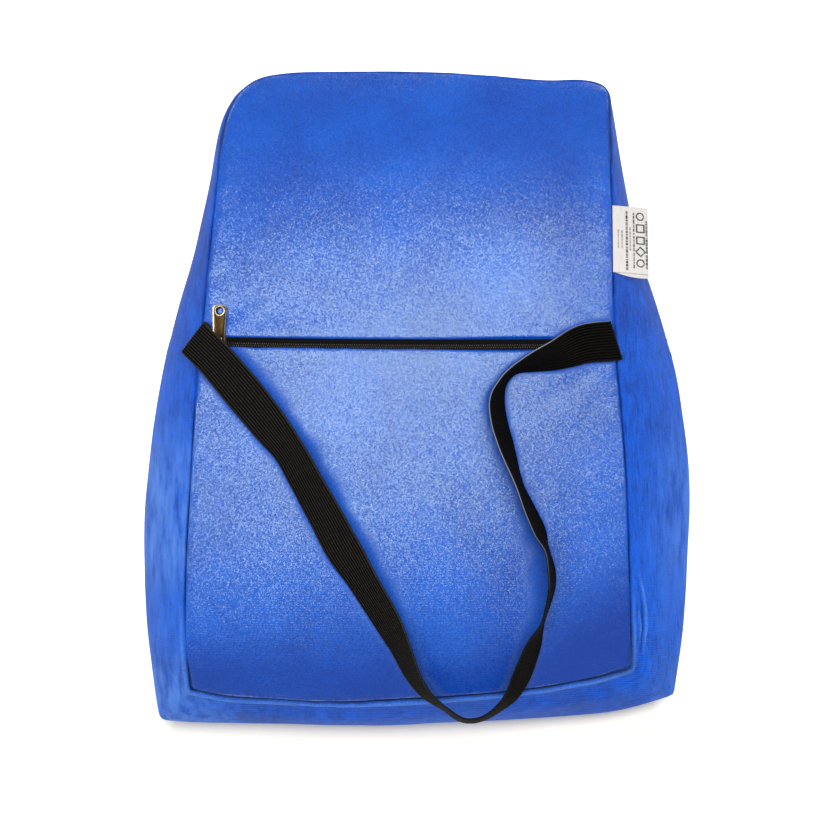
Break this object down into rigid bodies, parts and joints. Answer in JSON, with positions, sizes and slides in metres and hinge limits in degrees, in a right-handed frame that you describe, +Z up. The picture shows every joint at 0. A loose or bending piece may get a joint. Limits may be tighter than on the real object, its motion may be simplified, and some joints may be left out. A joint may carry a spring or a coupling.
{
  "type": "lumbar cushion",
  "caption": "Foam-filled lumbar cushion with a crowned rear panel, flared side bands, a zip across the panel, a slack elastic strap for a chair back and a folded care label.",
  "frame": {"origin": "on the floor under the middle of the cushion's outline, the cushion lying on its front with the zip and strap facing up", "axes": "+X to the right of the rear panel, +Y towards the thin top end, +Z up out of the rear panel"},
  "size_m": [0.3543, 0.4205, 0.1322],
  "materials": {
    "velour": "royal blue knitted velour with a short brushed pile",
    "zip_coil": "black moulded coil on black tape",
    "brass": "antique plated, dark in its recesses",
    "elastic": "black ribbed woven elastic",
    "label_satin": "off-white satin ribbon"
  },
  "bodies": {
    "root": {"cushion": "velour", "zip_chain": "zip_coil", "zip_slider": "brass", "zip_pull": "brass", "strap": "elastic", "care_label": "label_satin"}
  },
  "joints": []
}
